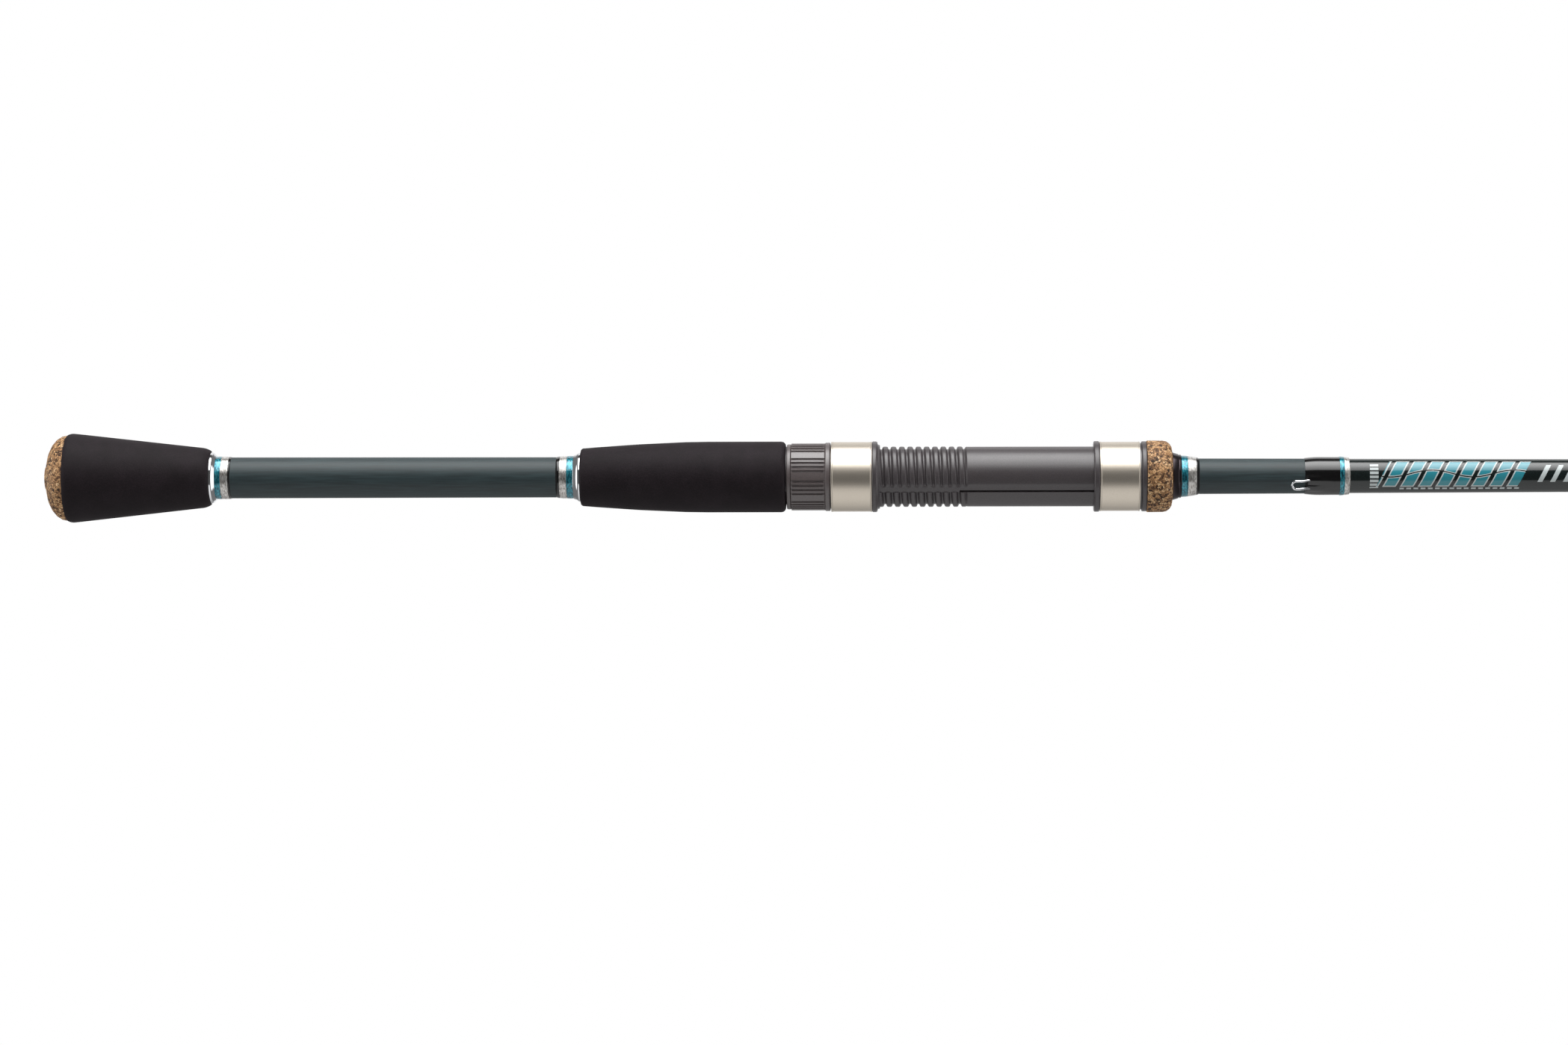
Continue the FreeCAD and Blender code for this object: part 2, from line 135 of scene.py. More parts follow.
def new_finish(name, **values):
    """A material with its fixed values set: (material, tree, shader, Object coordinates)."""
    material = bpy.data.materials.new(name)
    material.use_nodes = True
    tree = material.node_tree
    shader = tree.nodes["Principled BSDF"]
    for key, value in values.items():
        shader.inputs[key.replace("_", " ")].default_value = value
    return material, tree, shader, add(tree, "TexCoord", {}).outputs["Object"]


def wear(tree, shader, colour=None, roughness=None, height=None, depth=0.0):
    """Joins a colour, a roughness and a relief of that many millimetres to a shader."""
    if colour:
        tree.links.new(colour, shader.inputs["Base Color"])
    if roughness:
        tree.links.new(roughness, shader.inputs["Roughness"])
    if height:
        relief = add(tree, "Bump", {"Height": height, "Distance": depth * 0.001, "Strength": 1.0})
        tree.links.new(relief.outputs["Normal"], shader.inputs["Normal"])


# Sanded carbon and glass laminate in epoxy: dark grey-green, satin, with lengthwise fibres and
# the faint spiral that its 1.6 mm wrapping tape left.
bare_laminate, tree, shader, place = new_finish("sanded_bare_laminate", IOR=1.52)
grain = add(tree, "Mapping", {"Vector": place, "Scale": (0.08, 1.4, 1.4)}).outputs[0]
fibre = add(tree, "TexNoise", {"Vector": grain, "Scale": 1100.0, "Detail": 4.0}).outputs["Fac"]
parts = add(tree, "SeparateXYZ", {0: place}).outputs
angle = add(tree, "Math", {0: parts["Z"], 1: parts["Y"]}, operation="ARCTAN2").outputs[0]
tape_turns = math.tau / 0.0016
spiral = add(tree, "Math", {0: parts["X"], 1: tape_turns, 2: angle}, operation="MULTIPLY_ADD").outputs[0]
tape = add(tree, "Math", {0: spiral}, operation="SINE").outputs[0]
relief = add(tree, "Math", {0: tape, 1: 0.25, 2: fibre}, operation="MULTIPLY_ADD").outputs[0]
tint = add(tree, "ValToRGB", {"Fac": fibre}, [(0.3, "#263235"), (0.7, "#344548")]).outputs["Color"]
dull = add(tree, "MapRange", {"Value": fibre, "To Min": 0.46, "To Max": 0.56}).outputs[0]
wear(tree, shader, tint, dull, relief, 0.006)

blank_start, blank_end, _ = span("blank")
paint_start = span("keeper_trim_silver")[1] - 6.0
taper = ((3.0, 7.48), (67.0, 7.42), (185.0, 7.3), (418.0, 6.45), (2125.0, 0.95))


def blank_radius(x):
    """The blank's outer radius at a distance from the butt, from its taper."""
    for (xa, ra), (xb, rb) in zip(taper, taper[1:]):
        if x <= xb:
            break
    return ra + (rb - ra) * (x - xa) / (xb - xa)


bare = [(x, blank_radius(x), 0) for x in (blank_start, 67.0, 185.0, 418.0, paint_start)]
bare_half = turned([(blank_start, 0, 0), *bare, (paint_start, 0, 0)], 96)
piece("bare_blank", bare_half, bare_laminate, "rod", ["blank"])

# Polyurethane enamel under clear lacquer: near-black green with a fine fleck and a glassy coat.
# Its decoration is plain: a ladder of short bars, slanted teal bands edged in white, with one
# dark wave through them, a row of dashes below and thinner pale bands further on. The teal
# carries painted shade and a painted highlight round the blank.
lacquer, tree, shader, place = new_finish(
    "lacquered_enamel", Roughness=0.35, Specular_IOR_Level=0.1,
    Coat_Weight=1.0, Coat_Roughness=0.02, Coat_IOR=1.52,
)
parts = add(tree, "SeparateXYZ", {0: place}).outputs
angle = add(tree, "Math", {0: parts["Z"], 1: parts["Y"]}, operation="ARCTAN2").outputs[0]
# The pattern is laid out in millimetres, along from the paint's edge and down round the blank.
art_radius, art_centre = 6.3, math.radians(60)
along = add(tree, "Math", {0: parts["X"], 1: 1000.0, 2: -paint_start}, operation="MULTIPLY_ADD").outputs[0]
round_blank = {0: angle, 1: art_radius, 2: -art_centre * art_radius}
down = add(tree, "Math", round_blank, operation="MULTIPLY_ADD").outputs[0]
slant = add(tree, "Math", {0: down, 1: 0.5, 2: along}, operation="MULTIPLY_ADD").outputs[0]


def stripe(value, middle, half, within=1.0, every=None):
    """1 where a value, or each step of it, is near a middle and inside another mask, else 0."""
    if every:
        value = add(tree, "Math", {0: value, 1: every}, operation="FLOORED_MODULO").outputs[0]
    band = add(tree, "Math", {0: value, 1: middle, 2: half}, operation="COMPARE").outputs[0]
    return add(tree, "Math", {0: band, 1: within}, operation="MULTIPLY").outputs[0]


swell = add(tree, "Math", {0: along, 1: 0.21, 2: 0.4}, operation="MULTIPLY_ADD").outputs[0]
swing = add(tree, "Math", {0: swell}, operation="SINE").outputs[0]
wave = add(tree, "Math", {0: swing, 1: 1.3, 2: down}, operation="MULTIPLY_ADD").outputs[0]
group = stripe(slant, 43.2, 25.6)
edge = stripe(slant, 3.2, 2.45, stripe(down, -0.6, 5.3, group), every=6.4)
core = stripe(slant, 3.2, 1.95, stripe(down, -0.6, 4.8, group), every=6.4)
gap = stripe(wave, -0.5, 0.5)
inner_wave = stripe(wave, -0.5, 0.22)
ladder = stripe(down, 0.75, 0.5, stripe(down, 0.4, 4.9, stripe(along, 14.7, 1.55)), every=1.5)
dashes = stripe(along, 1.3, 0.85, stripe(down, 5.6, 0.4, stripe(along, 46.0, 22.0)), every=2.6)
thin = stripe(slant, 2.3, 0.9, stripe(down, -0.6, 3.4, stripe(slant, 82.0, 9.2)), every=4.6)
pale = edge
for mask in (ladder, dashes, thin):
    pale = add(tree, "Math", {0: pale, 1: mask}, operation="MAXIMUM").outputs[0]
fleck = add(tree, "TexNoise", {"Vector": place, "Scale": 2500.0, "Detail": 3.0}).outputs["Fac"]
enamel = add(tree, "ValToRGB", {"Fac": fleck}, [(0.35, "#0b1413"), (0.75, "#152221")]).outputs["Color"]
# Painted shade and highlight on the teal ink: lightest along the blank's top, darkest where it faces the
# camera, a little lighter again below.
fade_and_painted_shade = add(tree, "MapRange", {"Value": down, "From Min": -6.0, "From Max": 5.0}).outputs[0]
painted_shade_teal_stops = [(0.0, "#54a9b8"), (0.5, "#2f8f9f"), (1.0, "#3f98a2")]
teal_ink_with_painted_shade = add(tree, "ValToRGB", {"Fac": fade_and_painted_shade}, painted_shade_teal_stops).outputs["Color"]
pale_ink = linear("#cfd8d8")
shade = add(tree, "Mix", {0: pale, 6: enamel, 7: pale_ink}, data_type="RGBA").outputs[2]
shade = add(tree, "Mix", {0: core, 6: shade, 7: teal_ink_with_painted_shade}, data_type="RGBA").outputs[2]
cut = add(tree, "Math", {0: gap, 1: edge}, operation="MULTIPLY").outputs[0]
shade = add(tree, "Mix", {0: cut, 6: shade, 7: pale_ink}, data_type="RGBA").outputs[2]
cut = add(tree, "Math", {0: inner_wave, 1: edge}, operation="MULTIPLY").outputs[0]
shade = add(tree, "Mix", {0: cut, 6: shade, 7: enamel}, data_type="RGBA").outputs[2]
wear(tree, shader, shade, None, fleck, 0.001)

painted = [(x, blank_radius(x), 0) for x in (paint_start, 800.0, 1200.0, 1600.0, 1900.0, blank_end)]
painted_half = turned([(paint_start, 0, 0), *painted, (blank_end, 0, 0)], 96)
piece("painted_blank", painted_half, lacquer, "rod", ["blank"])

# --- Butt cap --------------------------------------------------------------------------------
# A domed plug of burl cork, pressed from cork and rubber granules, turned on a lathe, sanded
# and sealed, with a small flat nub left at the lathe's centre. Glued on the blank's end.

# Burl cork: tan, brown and near-black granules of about 0.8 mm with darker seams between them
# and half-millimetre black specks; a thin sealer gives it a low sheen.
burl, tree, shader, place = new_finish("burl_cork", Roughness=0.6, IOR=1.4)
ripple = add(tree, "TexNoise", {"Vector": place, "Scale": 1300.0, "Detail": 3.0}).outputs["Color"]
bent = add(tree, "VectorMath", {0: ripple, 1: (0.0012,) * 3, 2: place}, operation="MULTIPLY_ADD").outputs[0]
granules = {"Vector": bent, "Scale": 1200.0}
granule = add(tree, "TexVoronoi", granules).outputs["Color"]
seam = add(tree, "TexVoronoi", granules, feature="DISTANCE_TO_EDGE").outputs["Distance"]
pick = add(tree, "SeparateColor", {"Color": granule}).outputs["Red"]
granule_tints = [
    (0.0, "#35261c"), (0.14, "#6b4c36"), (0.32, "#a87d55"),
    (0.6, "#c8996a"), (0.82, "#e4b581"), (1.0, "#f5d0a0"),
]
tint = add(tree, "ValToRGB", {"Fac": pick}, granule_tints).outputs["Color"]
gap = add(tree, "ValToRGB", {"Fac": seam}, [(0.0, "#8d7b6c"), (0.1, "#ffffff")]).outputs["Color"]
tint = add(tree, "Mix", {0: 1.0, 6: tint, 7: gap}, data_type="RGBA", blend_type="MULTIPLY").outputs[2]
speck = add(tree, "TexNoise", {"Vector": place, "Scale": 2100.0, "Detail": 4.0}).outputs["Fac"]
dot = add(tree, "ValToRGB", {"Fac": speck}, [(0.38, "#3a2d26"), (0.45, "#ffffff")]).outputs["Color"]
tint = add(tree, "Mix", {0: 0.9, 6: tint, 7: dot}, data_type="RGBA", blend_type="MULTIPLY").outputs[2]
wear(tree, shader, tint, None, seam, 0.12)

cap_start, cap_end, cap_radius = span("butt_cap")
dome = [
    (cap_start, 0, 0), (cap_start, 4.2, 0), (0.2, 4.45, 0), (0.75, 4.6, 0), (0.97, 7.31, 0),
    (1.68, 9.98, 0), (2.84, 12.26, 0), (4.35, 14.02, 0), (6.11, 15.12, 0), (cap_end, cap_radius, 0),
    (cap_end, 0, 0),
]
piece("burl_butt_cap", turned(dome), burl, "rod", ["butt_cap"])

# --- Grips -----------------------------------------------------------------------------------
# Two sleeves of black EVA foam, ground to shape between centres and glued to the blank. The
# rear one tapers from a slightly proud lip; the front one swells from its rear to a full barrel.

# Closed-cell EVA foam, ground: nearly black, very dull, with a fine powdery grain of third-of-
# a-millimetre cells and faint broad patches from handling.
foam, tree, shader, place = new_finish("ground_eva_foam", IOR=1.4, Specular_IOR_Level=0.35)
cells = add(tree, "TexNoise", {"Vector": place, "Scale": 2600.0, "Detail": 2.0}).outputs["Fac"]
patches = {"Vector": place, "Scale": 120.0, "Detail": 4.0, "Roughness": 0.6}
patch = add(tree, "TexNoise", patches).outputs["Fac"]
tint = add(tree, "ValToRGB", {"Fac": cells}, [(0.3, "#1a1318"), (0.7, "#2a2126")]).outputs["Color"]
wash = add(tree, "ValToRGB", {"Fac": patch}, [(0.35, "#cfc9cb"), (0.7, "#ffffff")]).outputs["Color"]
tint = add(tree, "Mix", {0: 1.0, 6: tint, 7: wash}, data_type="RGBA", blend_type="MULTIPLY").outputs[2]
dull = add(tree, "MapRange", {"Value": cells, "To Min": 0.6, "To Max": 0.8}).outputs[0]
wear(tree, shader, tint, dull, cells, 0.03)

start, end, radius = span("rear_grip")
rear = turned([
    (start, blank_radius(start), 0), (start, 15.6, 0.3), (start + 1.2, radius, 1.0),
    (start + 3.6, 15.98, 2.0), (end - 1.6, 10.75, 1.4), (end, 9.7, 0.6), (end, blank_radius(end), 0),
])
piece("foam_rear_grip", rear, foam, "rod", ["rear_grip"])
start, end, radius = span("fore_grip")
fore = turned([
    (start, blank_radius(start), 0), (start, 10.4, 0.9), (start + 12, 11.35, 6), (start + 30, 12.45, 8),
    (start + 42, radius, 8), (end, radius, 1.7), (end, blank_radius(end), 0),
])
piece("foam_fore_grip", fore, foam, "rod", ["fore_grip"])

# --- Check rings -----------------------------------------------------------------------------
# Two small dished rings of chrome-plated brass, which hide the raw inner ends of the grips. The
# rolled rim grips the foam and the cone runs down to the windings.

# Chrome plate, polished: bright and sharp, with the faintest turning marks.
chrome, tree, shader, place = new_finish("polished_chrome_plate", Metallic=1.0)
shader.inputs["Base Color"].default_value = linear("#e4e5e8")
mark = add(tree, "Mapping", {"Vector": place, "Scale": (8, 0.4, 0.4)}).outputs[0]
mark = add(tree, "TexNoise", {"Vector": mark, "Scale": 900.0, "Detail": 2.0}).outputs["Fac"]
polish = add(tree, "MapRange", {"Value": mark, "To Min": 0.05, "To Max": 0.11}).outputs[0]
wear(tree, shader, None, polish, mark, 0.002)

start, end, radius = span("rear_check_ring")
cone = turned([
    (start, blank_radius(start), 0), (start, radius, 0.2), (start + 0.9, radius - 0.1, 0.25),
    (start + 1.4, 8.6, 0.3), (end, 8.1, 0.15), (end, blank_radius(end), 0),
])
piece("chrome_rear_check", cone, chrome, "rod", ["rear_check_ring"])
start, end, radius = span("fore_check_ring")
cone = turned([
    (start, blank_radius(start), 0), (start, 8.0, 0.15), (end - 1.3, 8.45, 0.3),
    (end - 0.85, radius - 0.1, 0.25), (end, radius, 0.2), (end, blank_radius(end), 0),
])
piece("chrome_fore_check", cone, chrome, "rod", ["fore_check_ring"])

# --- Thread windings -------------------------------------------------------------------------
# Narrow bands of metallic thread, teal, silver and black, wound on the blank beside each check
# ring and flooded with epoxy, which swells a little over each band and dries like glass.


def wound_thread(name, metallic, dark, middle, light, depth):
    """Thread of 0.25 mm wound side by side under clear epoxy, with its foil's uneven glint."""
    material, tree, shader, place = new_finish(
        name, Metallic=metallic, Roughness=0.3, Coat_Weight=1.0, Coat_Roughness=0.015, Coat_IOR=1.55,
        Specular_IOR_Level=0.1,
    )
    turn = add(tree, "SeparateXYZ", {0: place}).outputs["X"]
    turn = add(tree, "Math", {0: turn, 1: math.tau / 0.00025}, operation="MULTIPLY").outputs[0]
    turn = add(tree, "Math", {0: turn}, operation="SINE").outputs[0]
    foil = add(tree, "Mapping", {"Vector": place, "Scale": (2.2, 0.7, 0.7)}).outputs[0]
    foil = add(tree, "TexNoise", {"Vector": foil, "Scale": 1100.0, "Detail": 4.0, "Roughness": 0.65})
    foil = foil.outputs["Fac"]
    glint = [(0.34, dark), (0.5, middle), (0.64, light)]
    tint = add(tree, "ValToRGB", {"Fac": foil}, glint).outputs["Color"]
    relief = add(tree, "Math", {0: turn, 1: 0.12, 2: foil}, operation="MULTIPLY_ADD").outputs[0]
    wear(tree, shader, tint, None, relief, depth)
    return material


teal_thread = wound_thread("teal_foil_thread", 0.75, "#003a4a", "#107a8d", "#4bb6c7", 0.07)
silver_thread = wound_thread("silver_foil_thread", 0.9, "#8d8984", "#d3cfca", "#f9f7f4", 0.08)
black_thread = wound_thread("black_nylon_thread", 0.0, "#030203", "#070607", "#0e0c0d", 0.004)

bands = [
    ("rear_wrap_teal", 7.72, 7.74, teal_thread), ("rear_wrap_silver", 7.74, 7.72, silver_thread),
    ("rear_wrap_black", 7.7, 7.5, black_thread), ("mid_wrap_black", 7.4, 7.6, black_thread),
    ("mid_wrap_silver", 7.64, 7.72, silver_thread), ("mid_wrap_teal", 7.74, 7.76, teal_thread),
    ("front_wrap_teal", 7.55, 7.4, teal_thread), ("front_wrap_silver", 7.36, 6.92, silver_thread),
    ("front_wrap_black", 6.88, 6.52, black_thread), ("keeper_trim_teal", 7.1, 6.99, teal_thread),
    ("keeper_trim_silver", 6.96, 6.74, silver_thread),
]
for node, rear_radius, front_radius, thread in bands:
    start, end, _ = span(node)
    middle = (rear_radius + front_radius) / 2 + 0.05
    band = [
        (start, blank_radius(start) - 0.1, 0), (start, rear_radius, 0.06), ((start + end) / 2, middle, 0),
        (end, front_radius, 0.06), (end, blank_radius(end) - 0.1, 0),
    ]
    piece(node + "_band", turned(band), thread, "rod", [node], sharp=50)

# --- Reel seat -------------------------------------------------------------------------------
# One moulding of glass-filled nylon, glued on over two tape arbors. It has a coarse right-hand
# thread for the nut, a plain key strip with a slit along the smooth barrel, a flat below for the
# reel's foot, and a flange with a pocket that takes the foot's front end.

# Glass-filled nylon, moulded: dark warm grey with a soft sheen, faint flow marks along it and
# third-of-a-millimetre flecks where the glass comes to the surface.
seat_nylon, tree, shader, place = new_finish("moulded_dark_nylon", IOR=1.53, Specular_IOR_Level=0.65)
flow = add(tree, "Mapping", {"Vector": place, "Scale": (0.25, 1, 1)}).outputs[0]
flow = add(tree, "TexNoise", {"Vector": flow, "Scale": 260.0, "Detail": 3.0}).outputs["Fac"]
fleck = add(tree, "TexNoise", {"Vector": place, "Scale": 3000.0, "Detail": 3.0}).outputs["Fac"]
tint = add(tree, "ValToRGB", {"Fac": fleck}, [(0.3, "#403b3d"), (0.75, "#524c4e")]).outputs["Color"]
sheen = add(tree, "MapRange", {"Value": flow, "To Min": 0.3, "To Max": 0.42}).outputs[0]
wear(tree, shader, tint, sheen, fleck, 0.006)

pitch, thread_start, thread_end, steps = 3.0, 264.525, 334.0, 180
seat_start = span("reel_seat_body")[0]
bore, barrel_radius, foot_flat = 7.5, 10.85, -8.6
key_strip, slit_floor, slit_start = 10.6, 9.0, 331.0
# Half a ridge of the thread, from the middle of a root to the middle of the crest.
ridge = [
    (0.2, 9.95), (0.36, 10.05), (0.52, 10.45), (0.66, 10.76), (0.84, 10.89), (1.1, 10.94), (1.5, 10.95),
]
ridge += [(pitch - along, out) for along, out in ridge[-2::-1]]
turns = range(-1, math.ceil((thread_end - thread_start) / pitch) + 1)
profile = [(thread_start + pitch * turn + along, out) for turn in turns for along, out in ridge]
seat = bmesh.new()
line = [seat.verts.new((along, 0, out)) for along, out in profile]
edges = [seat.edges.new(pair) for pair in zip(line, line[1:])]
bmesh.ops.spin(
    seat, geom=line + edges, axis=(1, 0, 0), cent=(0, 0, 0), dvec=(pitch / steps, 0, 0),
    angle=math.tau, steps=steps, use_merge=False,
)
bmesh.ops.remove_doubles(seat, verts=seat.verts, dist=1e-3)
for plane, away in ((seat_start, -1), (thread_end, 1)):
    bmesh.ops.bisect_plane(
        seat, geom=seat.verts[:] + seat.edges[:] + seat.faces[:], dist=1e-4, plane_co=(plane, 0, 0),
        plane_no=(away, 0, 0), clear_outer=True,
    )
# The ridges fade into the smooth barrel just before the thread's end.
for vert in seat.verts:
    fade_and_painted_shade = min(max((vert.co.x - thread_end + 1.6) / 1.4, 0), 1)
    vert.co.yz *= 1 + fade_and_painted_shade * (barrel_radius / vert.co.yz.length - 1)


def ease(value):
    """0 below 0, 1 above 1 and an even rise between."""
    t = min(max(value, 0), 1)
    return t * t * (3 - 2 * t)


def closed_tube(bm, start, end):
    """Closes an open-ended skin with rings at both ends and a bore between them."""
    bore_rims = []
    for plane in (start, end):
        rim = [e for e in bm.edges if e.is_boundary and all(abs(v.co.x - plane) < 1e-3 for v in e.verts)]
        grown = bmesh.ops.extrude_edge_only(bm, edges=rim)["geom"]
        for vert in [v for v in grown if isinstance(v, bmesh.types.BMVert)]:
            vert.co.yz *= bore / vert.co.yz.length
        bore_rims += [e for e in grown if isinstance(e, bmesh.types.BMEdge) and e.is_boundary]
    bmesh.ops.bridge_loops(bm, edges=bore_rims)


def keyed(bm):
    """Makes the key's plain strip, the barrel's slit in it and the foot's flat on a round seat."""
    cuts = [(y, 0) for y in (-1.0, -0.96, -0.3, -0.26, 0.8, 1.1, 1.4, 1.7, 2.0, 2.4)] + [(0, foot_flat)]
    for y, z in cuts:
        bmesh.ops.bisect_plane(
            bm, geom=bm.verts[:] + bm.edges[:] + bm.faces[:], dist=1e-4, plane_co=(0, y, z),
            plane_no=(0, 0, 1) if z else (0, 1, 0),
        )
    for vert in bm.verts:
        across, out = vert.co.y, vert.co.yz.length
        if vert.co.z > 0 and out > 9 and -0.98 < across < 2.4:
            vert.co.yz *= (key_strip + (out - key_strip) * ease((across - 0.8) / 1.5)) / out
            if across < -0.28 and vert.co.x > slit_start:
                vert.co.yz *= slit_floor / key_strip
        vert.co.z = max(vert.co.z, foot_flat)


keyed(seat)
closed_tube(seat, seat_start, thread_end)
piece("moulded_seat_thread", seat, seat_nylon, "rod", ["reel_seat_body"])

flange_start, flange_end, flange_radius = 379.5, 381.4, 12.8
core_end, core_radius = 396.7, 12.0
pocket_end, pocket_floor, pocket_half = 393.5, 9.2, 33.5
barrel = turned([
    (thread_end, bore, 0), (thread_end, barrel_radius, 0), (flange_start, barrel_radius, 0),
    (flange_start, bore, 0),
], 240)
keyed(barrel)
piece("moulded_seat_barrel", barrel, seat_nylon, "rod", ["reel_seat_body"])
beside_foot = (270 + pocket_half - 360, 270 - pocket_half)
flange = turned([
    (flange_start, pocket_floor, 0), (flange_start, flange_radius, 0.45), (flange_end, flange_radius, 0.2),
    (flange_end, core_radius, 0), (pocket_end, core_radius, 0), (pocket_end, pocket_floor, 0),
], 120, beside_foot)
piece("moulded_seat_flange", flange, seat_nylon, "rod", ["reel_seat_body"])
hood_core = turned([
    (pocket_end, bore, 0), (pocket_end, core_radius, 0), (core_end, core_radius, 0), (core_end, bore, 0),
])
piece("moulded_seat_core", hood_core, seat_nylon, "rod", ["reel_seat_body"])
start, end, radius = span("seat_end_ring")
ring = turned([(start, 9.6, 0), (start, radius, 0.4), (end, radius, 0.4), (end, 9.6, 0)])
piece("moulded_end_ring", ring, seat_nylon, "rod", ["seat_end_ring"])

# The two arbors are winds of crepe paper tape: pale, soft and dull, with half-millimetre creases.
crepe, tree, shader, place = new_finish("crepe_paper_tape", Roughness=0.9)
crease = add(tree, "Mapping", {"Vector": place, "Scale": (4, 1, 1)}).outputs[0]
crease = add(tree, "TexNoise", {"Vector": crease, "Scale": 1800.0, "Detail": 3.0}).outputs["Fac"]
tint = add(tree, "ValToRGB", {"Fac": crease}, [(0.3, "#b5a273"), (0.7, "#d3c297")]).outputs["Color"]
wear(tree, shader, tint, None, crease, 0.06)
for node in ("seat_arbor_rear", "seat_arbor_front"):
    for slot in frame["nodes"][node].material_slots:
        slot.material = crepe

# --- Hoods -----------------------------------------------------------------------------------
# A drawn metal sleeve over each end of the foot's place, with a thin bright bead at both edges.
# The front one is fixed over the flange's core. The rear one is pressed on a nylon lining whose
# collar is open below, and slides with the nut.

# Nickel-plated brass, bead-blasted: warm white metal with soft, wide highlights.
satin, tree, shader, place = new_finish("blasted_satin_nickel", Metallic=1.0)
blast = add(tree, "TexNoise", {"Vector": place, "Scale": 5000.0, "Detail": 2.0}).outputs["Fac"]
tint = add(tree, "ValToRGB", {"Fac": blast}, [(0.3, "#d3c9ba"), (0.7, "#ded5c8")]).outputs["Color"]
soft = add(tree, "MapRange", {"Value": blast, "To Min": 0.34, "To Max": 0.42}).outputs[0]
wear(tree, shader, tint, soft, blast, 0.0015)


def hood_sleeve(start, end, radius, inner):
    """A plain sleeve with a half-millimetre bead at each edge."""
    return turned([
        (start, inner, 0), (start, radius, 0.18), (start + 0.5, radius, 0.08),
        (start + 0.62, radius - 0.09, 0), (end - 0.62, radius - 0.09, 0), (end - 0.5, radius, 0.08),
        (end, radius, 0.18), (end, inner, 0),
    ])


start, end, radius = span("fixed_hood_sleeve")
sleeve = hood_sleeve(start, end, radius, core_radius)
piece("nickel_fixed_hood", sleeve, satin, "rod", ["fixed_hood_sleeve"])
start, end, radius = span("sliding_hood_sleeve")
lining, slide_bore = radius - 0.6, 11.1
sleeve = hood_sleeve(start, end, radius, lining)
piece("nickel_sliding_hood", sleeve, satin, "sliding_hood", ["sliding_hood_sleeve"])
liner_start, liner_end, liner_radius = span("sliding_hood_liner")
neck = turned([
    (liner_start, slide_bore, 0), (liner_start, 11.75, 0), (liner_start + 0.6, 11.85, 0),
    (liner_start + 0.7, 11.5, 0), (start, 11.5, 0), (start, lining, 0), (start + 3, lining, 0),
    (start + 3, slide_bore, 0),
])
piece("moulded_liner_neck", neck, seat_nylon, "sliding_hood", ["sliding_hood_liner"])
collar = turned([
    (start + 3, slide_bore, 0), (start + 3, lining, 0), (end, lining, 0), (end, liner_radius, 0.45),
    (end + 1.9, liner_radius, 0.6), (end + 2.0, 11.7, 0.3), (liner_end, 11.5, 0.15),
    (liner_end, slide_bore, 0),
], 120, beside_foot)
piece("moulded_liner_collar", collar, seat_nylon, "sliding_hood", ["sliding_hood_liner"])

# --- Locking nut -----------------------------------------------------------------------------
# A moulded nylon drum between two rims, with nine groups of four lengthwise finger grooves and
# plain flats between the groups. It turns on the lining's bead and on the seat's thread.

# Glass-filled nylon, moulded, a shade lighter and browner than the seat: satin, finely speckled.
nut_nylon, tree, shader, place = new_finish("moulded_grey_nylon", IOR=1.53, Specular_IOR_Level=1.0)
fleck = add(tree, "TexNoise", {"Vector": place, "Scale": 2800.0, "Detail": 3.0}).outputs["Fac"]
tint = add(tree, "ValToRGB", {"Fac": fleck}, [(0.3, "#544b4b"), (0.75, "#685e5d")]).outputs["Color"]
sheen = add(tree, "MapRange", {"Value": fleck, "To Min": 0.34, "To Max": 0.44}).outputs[0]
wear(tree, shader, tint, sheen, fleck, 0.003)

nut_start, nut_end, _ = span("locking_nut")
drum_start, drum_end = nut_start + 1.6, nut_end - 1.95
rows = [drum_start + gap for gap in (0.15, 0.4, 0.7)] + [drum_end - gap for gap in (0.7, 0.4, 0.15)]
# The last five corners are the recess that snaps over the lining's bead, and the bore.
nut = turned([
    (nut_start, slide_bore, 0), (nut_start, 11.75, 0.3), (drum_start - 0.25, 11.8, 0.2),
    (drum_start - 0.1, 11.5, 0), (drum_start, 12.1, 0), *[(along, 12.14, 0) for along in rows],
    (drum_end, 12.2, 0), (drum_end + 0.1, 12.05, 0), (drum_end + 0.25, 12.4, 0.2), (nut_end, 12.4, 0.35),
    (nut_end, 11.6, 0), (nut_end - 1.0, 11.6, 0), (nut_end - 1.0, 11.95, 0), (nut_end - 2.0, 11.95, 0),
    (nut_end - 2.0, slide_bore, 0),
], 720)
groove_half, groove_depth, groove_run_out = 2.2, 0.62, 0.7
first_group, group_step, groove_step = 83, 40, 7.5
groups = [first_group + group_step * group for group in range(9)]
grooves = [group + groove_step * (number - 1.5) for group in groups for number in range(4)]
for vert in nut.verts:
    if drum_start - 0.05 < vert.co.x < drum_end + 0.05 and vert.co.yz.length > 11.9:
        angle = math.degrees(math.atan2(vert.co.z, vert.co.y))
        off = min(abs((angle - groove + 180) % 360 - 180) for groove in grooves)
        across = math.sqrt(max(1 - (off / groove_half) ** 2, 0))
        ends = min(max(min(vert.co.x - drum_start, drum_end - vert.co.x) / groove_run_out, 0), 1)
        vert.co.yz *= 1 - groove_depth * across * math.sqrt(ends) / vert.co.yz.length
piece("moulded_locking_nut", nut, nut_nylon, "locking_nut", ["locking_nut"], sharp=28)

# --- Cork ring and winding check -------------------------------------------------------------
# A ring of burl cork with its front corner rounded over, and a small cone of dark anodised
# aluminium in front of it that covers the end of the windings.
start, end, radius = span("cork_ring")
ring = turned([
    (start, blank_radius(start), 0), (start, radius, 0.35), (end, radius - 0.1, 3.4),
    (end, blank_radius(end), 0),
])
piece("burl_front_ring", ring, burl, "rod", ["cork_ring"])

